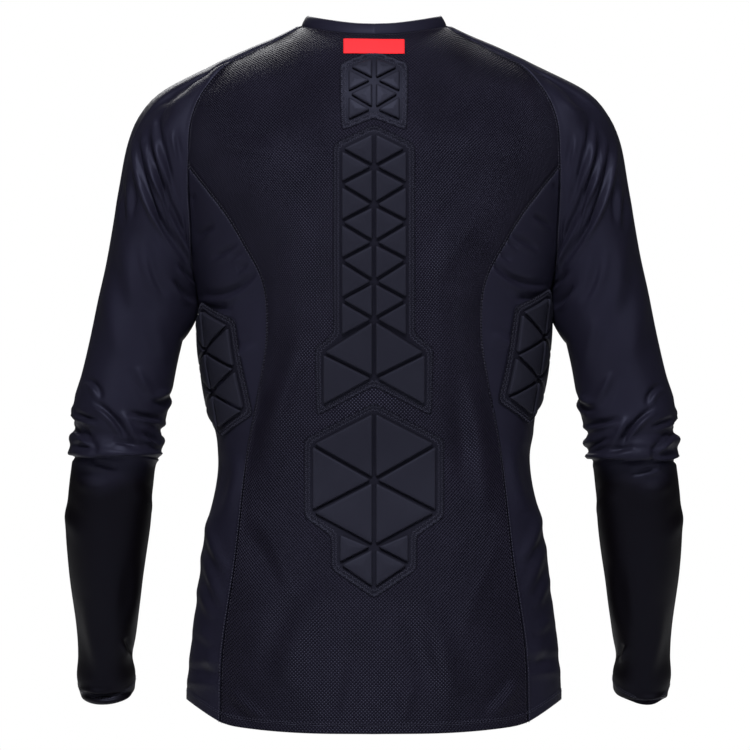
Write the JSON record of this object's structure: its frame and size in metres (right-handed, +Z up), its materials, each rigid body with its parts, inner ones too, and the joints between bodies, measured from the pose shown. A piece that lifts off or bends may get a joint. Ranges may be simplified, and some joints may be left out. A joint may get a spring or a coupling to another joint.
{
  "type": "padded compression shirt",
  "caption": "Long-sleeved padded compression shirt, worn shape, hollow, with foam pads along the spine and on both sides.",
  "frame": {"origin": "in the middle between the shoulders, where the wearer carries the shirt", "axes": "+Z up along the wearer, +X to the wearer's left, -Y to the wearer's front"},
  "size_m": [0.6416, 0.2394, 0.744],
  "materials": {
    "mesh_knit": "matt navy mesh knit",
    "stretch_knit": "smooth navy stretch knit with a soft sheen",
    "pad_cover": "matt navy covered foam",
    "label": "plain red label"
  },
  "bodies": {
    "root": {"back_panel": "mesh_knit", "front_panel": "stretch_knit", "side_panel_left": "stretch_knit", "side_panel_right": "stretch_knit", "sleeve_left": "stretch_knit", "sleeve_right": "stretch_knit", "neckband": "stretch_knit", "neck_label": "label", "spine_pad_upper": "pad_cover", "spine_pad_middle": "pad_cover", "spine_pad_lower": "pad_cover", "side_pad_left": "pad_cover", "side_pad_right": "pad_cover"}
  },
  "joints": []
}
